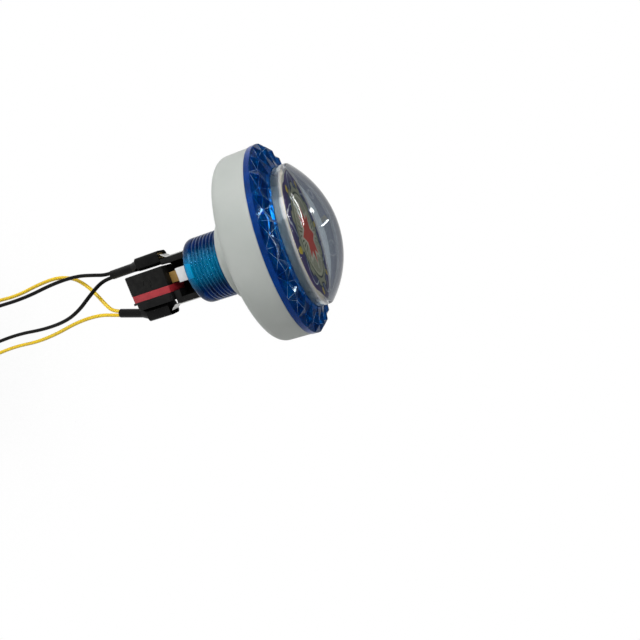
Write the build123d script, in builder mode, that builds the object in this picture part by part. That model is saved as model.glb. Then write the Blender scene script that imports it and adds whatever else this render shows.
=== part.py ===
"""Large domed arcade push button with a faceted transparent ring, a frosted collar and a microswitch.

The panel lies in the plane Z = 0, against the collar's back. +Z points out of the panel to the player,
the threaded stem goes down through the panel, and the microswitch hangs behind the stem.
All sizes are in millimetres.
"""

import os
from math import pi, radians, sqrt, tan

from build123d import *

os.makedirs("parts", exist_ok=True)

# Collar and clamp nut
collar_radius = 32.5
collar_height = 11.7
collar_wall = 2.0
collar_floor = 2.2
collar_back_round = 3.2
nut_radius = 14.5
nut_height = 9.3
nut_recess = 0.3
nut_land_clearance = 0.5
nut_edge = 1.2

# Stem and housing
stem_radius = 11.9
stem_wall = 2.5
stem_length = 23.0
stem_end_round = 2.0
round_limit = 0.9
stem_clearance = 0.2
housing_floor = 2.4
housing_floor_gap = 0.3
well_wall = 1.6
guide_length = 8.5
guide_wall = 1.4
ledge_width = 2.0

# Faceted ring
bezel_overhang = 0.2
bezel_band = 1.7
bezel_height = 4.95
bezel_skirt = 2.0
bezel_roof = 3.4
facet_count = 26
facet_foot_out = 0.3
facet_tip_in = 2.8
facet_tip_drop = 1.9
facet_ridge_in = 2.1
facet_ridge_drop = 0.95
facet_lip_in = 0.6
cutter_lift = 3.4
cutter_flare = 1.5
cutter_spread = 1.3

# Dome and print
dome_radius = 24.3
dome_wall = 1.6
dome_cap_height = 9.8
dome_side = 3.45
dome_clearance = 0.3
print_thickness = 0.3
print_depth = 0.8

# Plunger
travel = 2.2
hat_clearance = 0.2
hat_wall = 1.6
hat_set_in = 4.0
deck_thickness = 2.0
deck_rim = 0.5
lip_thickness = 1.75
flange_overlap = 0.6
flange_thickness = 1.6
flange_clearance = 0.4
stop_gap = 0.2
shaft_radius = 4.5
shaft_clearance = 0.25
shaft_inset = 2.0
rib_count = 6
rib_thickness = 1.2
rib_clearance = 0.5
rib_root = 0.2
tail_width = 5.2
tail_depth = 5.0
tail_height = 9.4
tail_gap = 0.1

# Return spring
spring_wire = 0.9
spring_gap = 1.25
spring_turns = 5

# Lamp board
board_thickness = 1.6
board_clearance = 0.4
board_hole_radius = 7.6
led_count = 8
led_size = 5.0
led_height = 1.6
led_circle_radius = 16.0

# Microswitch
switch_length = 27.8
switch_height = 15.2
switch_shift = 1.2
case_thickness = 7.2
cover_thickness = 2.6
case_edge = 0.5
button_from_end = 5.5
button_width = 4.0
button_depth = 3.6
button_exposed = 3.0
button_inside = 3.2
button_clearance = 0.15
peg_radius = 1.45
peg_clearance = 0.1
peg_inset = 2.8
blade_count = 3
blade_width = 4.7
blade_length = 5.4
blade_thickness = 0.5
blade_pitch = 7.4
blade_offset = 4.0

# Switch holder
holder_clearance = 0.1
holder_ring_height = 10.0
holder_ring_depth = 12.0
arm_thickness = 2.0
arm_width = 7.2
arm_set_in = 0.9
short_arm_overlap = 0.6
plate_thickness = 3.0
plate_step = 2.4
plate_round = 1.5
latch_length = 2.2
latch_thickness = 0.8
latch_width = 5.0

# Lead tabs, receptacles and boots
tab_thickness = 0.5
tab_width = 4.6
tab_slot_clearance = 0.1
tab_jog = 1.3
tab_jog_height = 1.8
tab_jog_drop = 0.4
tab_length = 7.0
receptacle_width = 5.9
receptacle_thickness = 1.9
receptacle_length = 7.5
receptacle_slot = 0.1
receptacle_inset = 0.8
boot_gap = 0.4
boot_width = 6.9
boot_thickness = 4.8
boot_shift = 0.7
boot_clearance = 0.05
boot_corner = 1.4
boot_end_share = 0.94
boot_length = 9.5
boot_taper = 3.5
neck_radius = 1.7
neck_shift = 0.3
neck_length = 9.1
yellow_neck_lean = 3.6
stagger = 1.7

# Leads
lead_radius = 0.7
lead_spacing = 0.8
lead_straight = 3.0
lead_bend_share = 0.45
strand_radius = 0.4
strand_length = 5.0

# Places worked out from the sizes
bezel_radius = collar_radius + bezel_overhang
bezel_top = collar_height + bezel_height
bore_radius = stem_radius - stem_wall
floor_bottom = collar_floor + housing_floor_gap
floor_top = floor_bottom + housing_floor
lip_radius = dome_radius + dome_clearance
lip_bottom = bezel_top - lip_thickness
flange_radius = lip_radius + flange_overlap
flange_top = lip_bottom - stop_gap
flange_bottom = flange_top - flange_thickness
well_radius = flange_radius + flange_clearance
well_outer = well_radius + well_wall
ledge_radius = well_radius - ledge_width
ledge_top = flange_bottom - travel - stop_gap
cap_base = bezel_top + dome_side
cap_radius = (dome_radius**2 + dome_cap_height**2) / (2 * dome_cap_height)
cap_centre = cap_base + dome_cap_height - cap_radius
dome_inside = dome_radius - dome_wall
hat_radius = dome_inside - hat_clearance
core_radius = hat_radius - hat_set_in
print_top = cap_base - print_depth
deck_top = print_top - print_thickness
deck_bottom = deck_top - deck_thickness
shaft_end = -stem_length + shaft_inset
switch_front = shaft_end - tail_height - tail_gap - button_exposed
switch_back = switch_front - switch_height
case_side = -(case_thickness + cover_thickness) / 2 - switch_shift
parting = case_side + case_thickness
cover_side = parting + cover_thickness
button_x = (case_side + cover_side) / 2
switch_near = -button_from_end
switch_middle = switch_near + switch_length / 2
ring_radius = bore_radius - holder_clearance
ring_top = -stem_length + holder_ring_depth
arm_outer = ring_radius - arm_set_in
arm_inner = arm_outer - arm_thickness
arm_middle = (arm_outer + arm_inner) / 2
jog_top = switch_front - tab_jog_drop
jog_bottom = jog_top - tab_jog_height
blade_x = arm_outer + tab_jog + tab_thickness / 2
boot_x = blade_x - boot_shift
boot_top = jog_bottom - boot_gap
boot_bottom = boot_top - boot_length
boot_round = min(boot_corner, round_limit * boot_thickness / 2)


def cap_height(radius, across):
    """Height of a dome surface of the given radius, at a distance from the axis."""
    return cap_centre + sqrt(radius**2 - across**2)


def facet_pair(turn, spread, radius, height):
    """Two mirrored corners of a facet, either side of its middle."""
    corner = Vector(radius, 0, height)
    return [corner.rotate(Axis.Z, turn + spread), corner.rotate(Axis.Z, turn - spread)]


def facet_star(turn):
    """Outer and inner cutter of one star: a sunk tip, from which facets rise to its neighbours' ridges."""
    half = 180 / facet_count
    wide = cutter_spread * half
    cutter_top = bezel_top + cutter_lift
    tip = Vector(bezel_radius - facet_tip_in, 0, bezel_top - facet_tip_drop).rotate(Axis.Z, turn)
    foot_radius = bezel_radius + facet_foot_out
    ridge_radius = bezel_radius - facet_ridge_in
    lip_edge = lip_radius - facet_lip_in
    feet = facet_pair(turn, half, foot_radius, collar_height + bezel_band)
    ridges = facet_pair(turn, half, ridge_radius, bezel_top - facet_ridge_drop)
    lips = facet_pair(turn, half, lip_edge, bezel_top)
    raised_feet = facet_pair(turn, wide, foot_radius + cutter_flare, cutter_top)
    raised_ridges = facet_pair(turn, wide, ridge_radius, cutter_top)
    raised_lips = facet_pair(turn, wide, lip_edge - facet_lip_in, cutter_top)
    outer = ConvexPolyhedron([tip, *feet, *ridges, *raised_feet, *raised_ridges], mode=Mode.PRIVATE)
    inner = ConvexPolyhedron([tip, *ridges, *lips, *raised_ridges, *raised_lips], mode=Mode.PRIVATE)
    return outer, inner


# White frosted collar: a cup that glows round the stem
with BuildPart() as light_collar:
    with BuildSketch(Plane.XY):
        Circle(collar_radius)
    extrude(amount=collar_height)
    fillet(light_collar.edges().group_by(Axis.Z)[0], radius=collar_back_round)
    with BuildSketch(Plane.XY.offset(collar_floor)):
        Circle(collar_radius - collar_wall)
    extrude(amount=collar_height - collar_floor, mode=Mode.SUBTRACT)
    with BuildSketch(Plane.XY):
        Circle(stem_radius + stem_clearance)
    extrude(amount=collar_floor, mode=Mode.SUBTRACT)
    with BuildSketch(Plane.XY):
        Circle(nut_radius + nut_land_clearance)
    extrude(amount=nut_recess, mode=Mode.SUBTRACT)
light_collar.part.label = "light_collar"
export_step(light_collar.part, "parts/light_collar.step")

# Clamp nut, screwed up against the collar
with BuildPart() as clamp_nut:
    with BuildSketch(Plane.XY.offset(nut_recess)):
        Circle(nut_radius)
        Circle(stem_radius + stem_clearance, mode=Mode.SUBTRACT)
    extrude(amount=-nut_height)
    fillet(clamp_nut.edges().group_by(Axis.Z)[0].sort_by(SortBy.RADIUS)[-1], radius=nut_edge)
clamp_nut.part.label = "clamp_nut"
export_step(clamp_nut.part, "parts/clamp_nut.step")

# Blue transparent housing: faceted ring, well, plunger guide and stem in one moulding
guide_radius = shaft_radius + shaft_clearance
guide_outer = guide_radius + guide_wall
with BuildPart() as housing:
    with BuildSketch(Plane.XZ):
        with BuildLine():
            Polyline(
                (bore_radius, -stem_length),
                (stem_radius, -stem_length),
                (stem_radius, floor_bottom),
                (well_outer, floor_bottom),
                (well_outer, bezel_top - bezel_roof),
                (bezel_radius - bezel_skirt, bezel_top - bezel_roof),
                (bezel_radius - bezel_skirt, collar_height),
                (bezel_radius, collar_height),
                (bezel_radius, bezel_top),
                (lip_radius, bezel_top),
                (lip_radius, lip_bottom),
                (well_radius, lip_bottom),
                (well_radius, ledge_top),
                (ledge_radius, ledge_top),
                (ledge_radius, floor_top),
                (guide_radius, floor_top),
                (guide_radius, floor_bottom - guide_length),
                (guide_outer, floor_bottom - guide_length),
                (guide_outer, floor_bottom),
                (bore_radius, floor_bottom),
                close=True,
            )
        make_face()
    revolve(axis=Axis.Z)
    stem_mouth = housing.edges().group_by(Axis.Z)[0].sort_by(SortBy.RADIUS)
    fillet(stem_mouth[-1], radius=min(stem_end_round, round_limit * stem_wall))
    cutters = []
    for i in range(facet_count):
        cutters.extend(facet_star(i * 360 / facet_count))
    add(cutters, mode=Mode.SUBTRACT)
    with BuildSketch(Plane.XY.offset(floor_bottom)):
        with Locations((arm_outer + tab_thickness / 2, 0), (-arm_outer - tab_thickness / 2, 0)):
            Rectangle(tab_thickness + 2 * tab_slot_clearance, tab_width + 2 * tab_slot_clearance)
    extrude(amount=housing_floor, mode=Mode.SUBTRACT)
housing.part.label = "housing"
export_step(housing.part, "parts/housing.step")

# Clear dome: a hollow lens with a short side wall that stands on the plunger's flange
cap_inside = cap_radius - dome_wall
half_out = dome_radius / 2
half_in = dome_inside / 2
with BuildPart() as dome:
    with BuildSketch(Plane.XZ):
        with BuildLine():
            ThreePointArc(
                (0, cap_height(cap_radius, 0)),
                (half_out, cap_height(cap_radius, half_out)),
                (dome_radius, cap_base),
            )
            Polyline(
                (dome_radius, cap_base),
                (dome_radius, flange_top),
                (dome_inside, flange_top),
                (dome_inside, cap_height(cap_inside, dome_inside)),
            )
            ThreePointArc(
                (dome_inside, cap_height(cap_inside, dome_inside)),
                (half_in, cap_height(cap_inside, half_in)),
                (0, cap_height(cap_inside, 0)),
            )
            Line((0, cap_height(cap_inside, 0)), (0, cap_height(cap_radius, 0)))
        make_face()
    revolve(axis=Axis.Z)
dome.part.label = "dome"
export_step(dome.part, "parts/dome.step")

# Printed card under the dome
with BuildPart() as print_disc:
    with BuildSketch(Plane.XY.offset(deck_top)):
        Circle(hat_radius)
    extrude(amount=print_thickness)
print_disc.part.label = "print_disc"
export_step(print_disc.part, "parts/print_disc.step")

# White plunger: a hat that carries dome and print, its shaft, and the tail that meets the switch
with BuildPart() as plunger:
    with BuildSketch(Plane.XZ):
        with BuildLine():
            Polyline(
                (0, deck_top),
                (hat_radius, deck_top),
                (hat_radius, deck_top - deck_rim),
                (core_radius, deck_top - deck_rim),
                (core_radius, flange_top),
                (flange_radius, flange_top),
                (flange_radius, flange_bottom),
                (core_radius - hat_wall, flange_bottom),
                (core_radius - hat_wall, deck_bottom),
                (shaft_radius, deck_bottom),
                (shaft_radius, shaft_end),
                (0, shaft_end),
                close=True,
            )
        make_face()
    revolve(axis=Axis.Z)
    with BuildSketch(Plane.XY.offset(shaft_end)):
        with Locations((button_x, 0)):
            Rectangle(tail_width, tail_depth)
    extrude(amount=-tail_height)
    rib_start = shaft_radius + spring_gap + spring_wire + rib_clearance
    rib_length = core_radius - hat_wall + rib_root - rib_start
    with BuildSketch(Plane.XY.offset(deck_bottom)):
        with PolarLocations(rib_start + rib_length / 2, rib_count):
            Rectangle(rib_length, rib_thickness)
    extrude(amount=flange_bottom - deck_bottom)
plunger.part.label = "plunger"
export_step(plunger.part, "parts/plunger.step")

# Return spring, from the well's floor to the plunger's deck
spring_radius = shaft_radius + spring_gap + spring_wire / 2
spring_height = deck_bottom - floor_top - spring_wire
with BuildPart() as return_spring:
    with BuildLine() as coil:
        Helix(
            pitch=spring_height / spring_turns,
            height=spring_height,
            radius=spring_radius,
            center=(0, 0, floor_top + spring_wire / 2),
        )
    with BuildSketch(Plane(origin=coil.line @ 0, z_dir=coil.line % 0)):
        Circle(spring_wire / 2)
    sweep(path=coil.line, is_frenet=True)
return_spring.part.label = "return_spring"
export_step(return_spring.part, "parts/return_spring.step")

# Lamp board on the well's floor, with its lamps
board_top = floor_top + board_thickness
with BuildPart() as lamp_board:
    with BuildSketch(Plane.XY.offset(floor_top)):
        Circle(ledge_radius - board_clearance)
        Circle(board_hole_radius, mode=Mode.SUBTRACT)
    extrude(amount=board_thickness)
lamp_board.part.label = "lamp_board"
export_step(lamp_board.part, "parts/lamp_board.step")

with BuildPart() as leds:
    with BuildSketch(Plane.XY.offset(board_top)):
        with PolarLocations(led_circle_radius, led_count):
            Rectangle(led_size, led_size)
    extrude(amount=led_height)
leds.part.label = "leds"
export_step(leds.part, "parts/leds.step")

# Microswitch: black case, red cover, and the button that the plunger's tail presses
peg_places = [
    (switch_near + peg_inset, switch_back + peg_inset),
    (switch_near + switch_length - peg_inset, switch_front - peg_inset),
]
switch_centre = (switch_middle, (switch_front + switch_back) / 2)
with BuildPart() as switch_case:
    with BuildSketch(Plane.YZ.offset(case_side)):
        with Locations(switch_centre):
            Rectangle(switch_length, switch_height)
        with Locations(*peg_places):
            Circle(peg_radius + peg_clearance, mode=Mode.SUBTRACT)
    extrude(amount=case_thickness)
    outer_side = switch_case.faces().sort_by(Axis.X)[0]
    fillet(outer_side.outer_wire().edges(), radius=case_edge)
    with BuildSketch(Plane.XY.offset(switch_front)):
        with Locations(((button_x - button_width / 2 - button_clearance + parting) / 2, 0)):
            Rectangle(
                parting - button_x + button_width / 2 + button_clearance,
                button_depth + 2 * button_clearance,
            )
    extrude(amount=-button_inside - travel - 2 * button_clearance, mode=Mode.SUBTRACT)
switch_case.part.label = "switch_case"
export_step(switch_case.part, "parts/switch_case.step")

with BuildPart() as switch_cover:
    with BuildSketch(Plane.YZ.offset(parting)):
        with Locations(switch_centre):
            Rectangle(switch_length, switch_height)
        with Locations(*peg_places):
            Circle(peg_radius + peg_clearance, mode=Mode.SUBTRACT)
    extrude(amount=cover_thickness)
switch_cover.part.label = "switch_cover"
export_step(switch_cover.part, "parts/switch_cover.step")

with BuildPart() as switch_button:
    with BuildSketch(Plane.XY.offset(switch_front + button_exposed)):
        with Locations((button_x, 0)):
            Rectangle(button_width, button_depth)
    extrude(amount=-button_exposed - button_inside)
    fillet(switch_button.edges().group_by(Axis.Z)[-1], radius=case_edge)
switch_button.part.label = "switch_button"
export_step(switch_button.part, "parts/switch_button.step")

with BuildPart() as switch_terminals:
    with BuildSketch(Plane.XY.offset(switch_back)):
        with Locations((parting - case_thickness / 2, switch_middle + blade_offset)):
            with GridLocations(0, blade_pitch, 1, blade_count):
                Rectangle(blade_thickness, blade_width)
    extrude(amount=-blade_length)
switch_terminals.part.label = "switch_terminals"
export_step(switch_terminals.part, "parts/switch_terminals.step")

# Switch holder: a ring in the stem's bore, a half tube with two arms, and a plate with pegs for the switch
with BuildPart() as switch_holder:
    with BuildSketch(Plane.XY.offset(ring_top)):
        Circle(ring_radius)
        Circle(arm_inner, mode=Mode.SUBTRACT)
    extrude(amount=-holder_ring_height)
    with BuildSketch(Plane.XY.offset(ring_top)):
        Circle(arm_outer)
        Circle(arm_inner, mode=Mode.SUBTRACT)
        with Locations((0, -arm_outer / 2)):
            Rectangle(2 * arm_outer, arm_outer, mode=Mode.SUBTRACT)
    extrude(amount=switch_front + holder_clearance - ring_top)
    with BuildSketch(Plane.XY.offset(ring_top)):
        with Locations((-arm_middle, 0)):
            Rectangle(arm_thickness, arm_width)
    extrude(amount=switch_front - short_arm_overlap - ring_top)
    with BuildSketch(Plane.XY.offset(ring_top)):
        with Locations((arm_middle, 0)):
            Rectangle(arm_thickness, arm_width)
    extrude(amount=switch_front - ring_top)
    with BuildSketch(Plane.XY.offset(switch_front + plate_step)):
        with Locations(((cover_side + arm_outer) / 2, 0)):
            Rectangle(arm_outer - cover_side, arm_width)
    extrude(amount=-plate_step)
    with BuildSketch(Plane.YZ.offset(cover_side)):
        with Locations(switch_centre):
            RectangleRounded(switch_length, switch_height, plate_round)
        with Locations((0, switch_front)):
            Rectangle(arm_width, 2 * plate_step)
    extrude(amount=plate_thickness)
    with BuildSketch(Plane.YZ.offset(cover_side)):
        with Locations((switch_near + latch_width, switch_back)):
            Rectangle(latch_width, 2 * latch_length)
    extrude(amount=latch_thickness)
    with BuildSketch(Plane.YZ.offset(cover_side)):
        with Locations(*peg_places):
            Circle(peg_radius)
    extrude(amount=-cover_thickness - case_thickness)
    with BuildSketch(Plane.XY.offset(ring_top)):
        with Locations((arm_outer + arm_set_in, 0), (-arm_outer - arm_set_in, 0)):
            Rectangle(2 * arm_set_in, tab_width + 2 * tab_slot_clearance)
    extrude(amount=-holder_ring_height, mode=Mode.SUBTRACT)
switch_holder.part.label = "switch_holder"
export_step(switch_holder.part, "parts/switch_holder.step")


def lead_tab(side, drop):
    """Metal strip from the lamp board down the arm's outer side, stepped out to a push-on blade."""
    inner = arm_outer
    outer = arm_outer + tab_thickness
    with BuildPart() as tab:
        with BuildSketch(Plane.XZ.offset(-tab_width / 2)):
            with BuildLine():
                Polyline(
                    (side * inner, floor_top),
                    (side * outer, floor_top),
                    (side * outer, jog_top - drop),
                    (side * (outer + tab_jog), jog_bottom - drop),
                    (side * (outer + tab_jog), jog_bottom - tab_length - drop),
                    (side * (inner + tab_jog), jog_bottom - tab_length - drop),
                    (side * (inner + tab_jog), jog_bottom - drop),
                    (side * inner, jog_top - drop),
                    close=True,
                )
            make_face()
        extrude(amount=tab_width)
    return tab.part


def lead_terminal(side, drop):
    """Push-on receptacle round the tab's blade."""
    with BuildPart() as receptacle:
        with BuildSketch(Plane.XY.offset(boot_top - drop - receptacle_inset)):
            with Locations((side * blade_x, 0)):
                Rectangle(receptacle_thickness, receptacle_width)
                Rectangle(
                    tab_thickness + 2 * receptacle_slot,
                    tab_width + 2 * receptacle_slot,
                    mode=Mode.SUBTRACT,
                )
        extrude(amount=-receptacle_length)
    return receptacle.part


def neck_line(side, drop, lean):
    """Where a boot's neck starts, and its direction, leaning towards the axis."""
    mouth = Vector(side * (boot_x - neck_shift), 0, boot_bottom - drop)
    tip = mouth - Vector(side * lean, 0, boot_taper + neck_length)
    direction = (tip - mouth).normalized()
    return mouth + direction * boot_taper, direction


def lead_boot(side, drop, lean):
    """Soft insulating boot: a flat mouth over the receptacle and a round neck over the leads."""
    with BuildPart() as boot:
        with BuildSketch(Plane.XY.offset(boot_top - drop)):
            with Locations((side * boot_x, 0)):
                RectangleRounded(boot_thickness, boot_width, boot_round)
        extrude(amount=-boot_length)
        with BuildSketch(Plane.XY.offset(boot_top - drop)):
            with Locations((side * blade_x, 0)):
                Rectangle(receptacle_thickness + 2 * boot_clearance, receptacle_width + 2 * boot_clearance)
        extrude(amount=-receptacle_inset - receptacle_length, mode=Mode.SUBTRACT)
        start, direction = neck_line(side, drop, lean)
        with BuildSketch(Plane.XY.offset(boot_bottom - drop)):
            with Locations((side * boot_x, 0)):
                Ellipse(boot_end_share * boot_thickness / 2, boot_end_share * boot_width / 2)
        with BuildSketch(Plane(origin=start, z_dir=direction)):
            Circle(neck_radius)
        loft(ruled=True)
        with BuildSketch(Plane(origin=start, z_dir=direction)):
            Circle(neck_radius)
        extrude(amount=neck_length)
    return boot.part


# Lead tabs, receptacles and boots: the black pair at -X, the yellow pair at +X and farther down
for colour, side, drop, lean in (("black", -1, -stagger, 0), ("yellow", 1, stagger, yellow_neck_lean)):
    pieces = {
        f"{colour}_lead_tab": lead_tab(side, drop),
        f"{colour}_lead_terminal": lead_terminal(side, drop),
        f"{colour}_lead_boot": lead_boot(side, drop, lean),
    }
    for name, piece in pieces.items():
        piece.label = name
        export_step(piece, f"parts/{name}.step")


def lead_start(side, drop, lean, across):
    """First two points of a lead: in the neck's end face and straight out of it."""
    start, direction = neck_line(side, drop, lean)
    sideways = Vector(-direction.Z, 0, direction.X)
    exit_point = start + direction * neck_length + sideways * across
    return exit_point, exit_point + direction * lead_straight


# Leads: thin insulated wires that hang from the boots, each with a stripped and tinned end
black_1_exit, black_1_straight = lead_start(-1, -stagger, 0, -lead_spacing)
black_2_exit, black_2_straight = lead_start(-1, -stagger, 0, lead_spacing)
yellow_1_exit, yellow_1_straight = lead_start(1, stagger, yellow_neck_lean, -lead_spacing)
yellow_2_exit, yellow_2_straight = lead_start(1, stagger, yellow_neck_lean, lead_spacing)
lead_routes = {
    "black_lead_1": [
        black_1_exit,
        black_1_straight,
        black_1_exit + Vector(-1.5, 0.2, -8.0),
        black_1_exit + Vector(-3.2, 0.8, -15.0),
        black_1_exit + Vector(-3.6, 1.4, -26.0),
        black_1_exit + Vector(-1.9, 1.0, -42.0),
        black_1_exit + Vector(-2.5, -0.8, -58.0),
        black_1_exit + Vector(-1.5, -1.2, -72.0),
        black_1_exit + Vector(-1.9, -0.4, -84.0),
    ],
    "black_lead_2": [
        black_2_exit,
        black_2_straight,
        black_2_exit + Vector(1.0, -0.9, -6.4),
        black_2_exit + Vector(4.0, -2.0, -11.4),
        black_2_exit + Vector(7.7, -2.0, -18.0),
        black_2_exit + Vector(10.0, -1.2, -26.0),
        black_2_exit + Vector(10.4, 0.4, -38.0),
        black_2_exit + Vector(8.9, 1.0, -52.0),
        black_2_exit + Vector(9.6, 0.2, -66.0),
        black_2_exit + Vector(8.8, -0.6, -78.0),
    ],
    "yellow_lead_1": [
        yellow_1_exit,
        yellow_1_straight,
        yellow_1_exit + Vector(-3.5, 0.7, -5.3),
        yellow_1_exit + Vector(-8.4, 1.9, -8.2),
        yellow_1_exit + Vector(-13.2, 3.0, -11.6),
        yellow_1_exit + Vector(-17.6, 3.8, -16.4),
        yellow_1_exit + Vector(-20.0, 4.2, -23.4),
        yellow_1_exit + Vector(-19.8, 4.0, -33.0),
        yellow_1_exit + Vector(-18.4, 3.4, -44.0),
        yellow_1_exit + Vector(-19.4, 2.8, -56.0),
        yellow_1_exit + Vector(-18.2, 3.2, -68.0),
        yellow_1_exit + Vector(-18.8, 2.6, -78.0),
    ],
    "yellow_lead_2": [
        yellow_2_exit,
        yellow_2_straight,
        yellow_2_exit + Vector(-2.3, -0.3, -7.4),
        yellow_2_exit + Vector(-2.8, -0.7, -13.2),
        yellow_2_exit + Vector(-2.4, -0.5, -20.5),
        yellow_2_exit + Vector(-0.9, 0.4, -30.0),
        yellow_2_exit + Vector(-0.1, 1.0, -41.0),
        yellow_2_exit + Vector(-1.1, 1.5, -53.0),
        yellow_2_exit + Vector(-0.3, 1.2, -65.0),
        yellow_2_exit + Vector(-0.9, 0.2, -75.0),
        yellow_2_exit + Vector(-0.1, -0.6, -84.5),
    ],
}


def bend_radii(points):
    """Largest radius that each corner's two runs allow."""
    radii = []
    for before, corner, after in zip(points, points[1:], points[2:]):
        arriving = corner - before
        leaving = after - corner
        turn = radians(arriving.get_angle(leaving))
        radii.append(lead_bend_share * min(arriving.length, leaving.length) / tan(turn / 2))
    return radii


for name, points in lead_routes.items():
    radii = bend_radii(points)
    print(name, "bend radii", [round(radius, 1) for radius in radii])
    with BuildPart() as lead:
        with BuildLine() as route:
            FilletPolyline(*points, radius=radii)
        with BuildSketch(Plane(origin=route.wire() @ 0, z_dir=route.wire() % 0)):
            Circle(lead_radius)
        sweep(path=route.wire())
    print(name, "length", round(route.wire().length, 1), "volume over section times length",
          round(lead.part.volume / (pi * lead_radius**2 * route.wire().length), 4))
    lead.part.label = name
    export_step(lead.part, f"parts/{name}.step")
    with BuildPart() as strand:
        with BuildSketch(Plane(origin=route.wire() @ 1, z_dir=route.wire() % 1)):
            Circle(strand_radius)
        extrude(amount=strand_length)
    strand.part.label = f"{name}_end"
    export_step(strand.part, f"parts/{name}_end.step")
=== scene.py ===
"""Large domed arcade push button with a faceted blue ring, a frosted collar, a microswitch and lamp leads.

The sections follow the button as it is put together, from the housing to the leads, and then the studio.
Lengths are in metres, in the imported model's frame: the panel lies in Z = 0 and +Z points to the player.
"""

import math

import bpy
from mathutils import Matrix, Vector


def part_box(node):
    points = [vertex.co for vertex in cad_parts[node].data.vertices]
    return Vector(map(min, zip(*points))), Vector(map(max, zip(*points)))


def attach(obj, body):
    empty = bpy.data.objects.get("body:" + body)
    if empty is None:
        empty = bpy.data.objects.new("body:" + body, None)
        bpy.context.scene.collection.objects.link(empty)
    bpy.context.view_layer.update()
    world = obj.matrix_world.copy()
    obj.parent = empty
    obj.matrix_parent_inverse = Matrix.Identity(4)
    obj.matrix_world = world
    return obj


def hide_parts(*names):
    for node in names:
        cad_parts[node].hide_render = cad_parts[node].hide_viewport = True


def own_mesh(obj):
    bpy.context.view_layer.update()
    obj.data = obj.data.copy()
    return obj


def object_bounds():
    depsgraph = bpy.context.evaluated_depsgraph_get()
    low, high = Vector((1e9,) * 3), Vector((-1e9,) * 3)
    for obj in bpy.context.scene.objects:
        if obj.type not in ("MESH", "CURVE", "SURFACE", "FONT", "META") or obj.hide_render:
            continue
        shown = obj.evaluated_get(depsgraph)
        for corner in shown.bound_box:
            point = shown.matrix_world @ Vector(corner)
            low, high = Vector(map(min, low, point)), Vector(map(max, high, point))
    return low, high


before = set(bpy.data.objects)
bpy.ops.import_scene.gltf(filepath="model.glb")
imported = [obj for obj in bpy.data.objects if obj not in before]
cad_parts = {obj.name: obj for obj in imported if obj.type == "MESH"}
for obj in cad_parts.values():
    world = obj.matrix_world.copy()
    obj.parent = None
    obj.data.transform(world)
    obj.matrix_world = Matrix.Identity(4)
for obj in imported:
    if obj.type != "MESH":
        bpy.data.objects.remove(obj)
cad_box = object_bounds()


# Housing
# One moulding of transparent blue plastic: a ring cut with facets in front, a well for the lamps inside it,
# and a stem with a fine thread that goes through the panel.
mm = 0.001
merge_gap = 0.002 * mm


def choose_only(piece):
    """Deselects everything else and makes the piece the active object."""
    bpy.ops.object.select_all(action="DESELECT")
    piece.select_set(True)
    bpy.context.view_layer.objects.active = piece


def copy_of(node, name):
    """A copy of a CAD node with its loose triangles merged, which takes the node's place in the picture."""
    flat = math.radians(0.4)
    piece = bpy.data.objects.new(name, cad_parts[node].data.copy())
    bpy.context.collection.objects.link(piece)
    choose_only(piece)
    bpy.ops.mesh.customdata_custom_splitnormals_clear()
    bpy.ops.object.mode_set(mode="EDIT")
    bpy.ops.mesh.select_all(action="SELECT")
    bpy.ops.mesh.remove_doubles(threshold=merge_gap)
    bpy.ops.mesh.dissolve_limited(angle_limit=flat)
    bpy.ops.object.mode_set(mode="OBJECT")
    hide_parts(node)
    return piece


def apply_modifier(piece, kind, **settings):
    """Adds a modifier with the given settings and applies it."""
    choose_only(piece)
    modifier = piece.modifiers.new(kind.lower(), kind)
    for key, value in settings.items():
        setattr(modifier, key, value)
    bpy.ops.object.modifier_apply(modifier=modifier.name)


def wind(section, pitch, turns, steps):
    """Winds a closed section about Z into a coil, closes its two ends and turns its faces outwards."""
    apply_modifier(section, "SCREW", axis="Z", angle=2 * math.pi, screw_offset=pitch, iterations=turns,
                   steps=steps, render_steps=steps, use_merge_vertices=True, merge_threshold=merge_gap / 2)
    bpy.ops.object.mode_set(mode="EDIT")
    bpy.ops.mesh.select_all(action="SELECT")
    bpy.ops.mesh.fill_holes(sides=0)
    bpy.ops.mesh.select_all(action="SELECT")
    bpy.ops.mesh.normals_make_consistent(inside=False)
    bpy.ops.object.mode_set(mode="OBJECT")


def thread_cutter(radius, pitch, depth, bottom, turns):
    """The groove between a thread's crests as a solid, three-cornered in section."""
    half_width = 0.62 * pitch
    section = ((radius - depth, 0.0), (radius + depth, -half_width), (radius + depth, half_width))
    bpy.ops.object.select_all(action="DESELECT")
    bpy.ops.mesh.primitive_circle_add(vertices=3, radius=1.0)
    cutter = bpy.context.object
    for corner, (across, along) in zip(cutter.data.vertices, section):
        corner.co = (across, 0.0, along + bottom)
    wind(cutter, pitch, turns, steps=72)
    return cutter


def smooth_by_angle(piece, degrees):
    """Smooth shading, with edges sharper than the angle kept crisp."""
    choose_only(piece)
    bpy.ops.object.shade_smooth_by_angle(angle=math.radians(degrees))


stem_radius = 11.9 * mm
stem_lead_in = 3.0 * mm
thread_pitch = 1.35 * mm
thread_depth = 0.42 * mm
thread_turns = 15
housing_low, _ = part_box("housing")
housing = copy_of("housing", "threaded_housing")
groove = thread_cutter(stem_radius, thread_pitch, thread_depth, housing_low.z + stem_lead_in, thread_turns)
apply_modifier(housing, "BOOLEAN", object=groove, operation="DIFFERENCE", solver="EXACT")
bpy.data.objects.remove(groove)
smooth_by_angle(housing, degrees=50)


def feed(tree, socket, value):
    """Links a socket to another one, or sets it to a number or a colour."""
    if isinstance(value, bpy.types.NodeSocket):
        tree.links.new(value, socket)
    elif isinstance(value, tuple):
        socket.default_value = (*value, 1.0)
    else:
        socket.default_value = value


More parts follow.
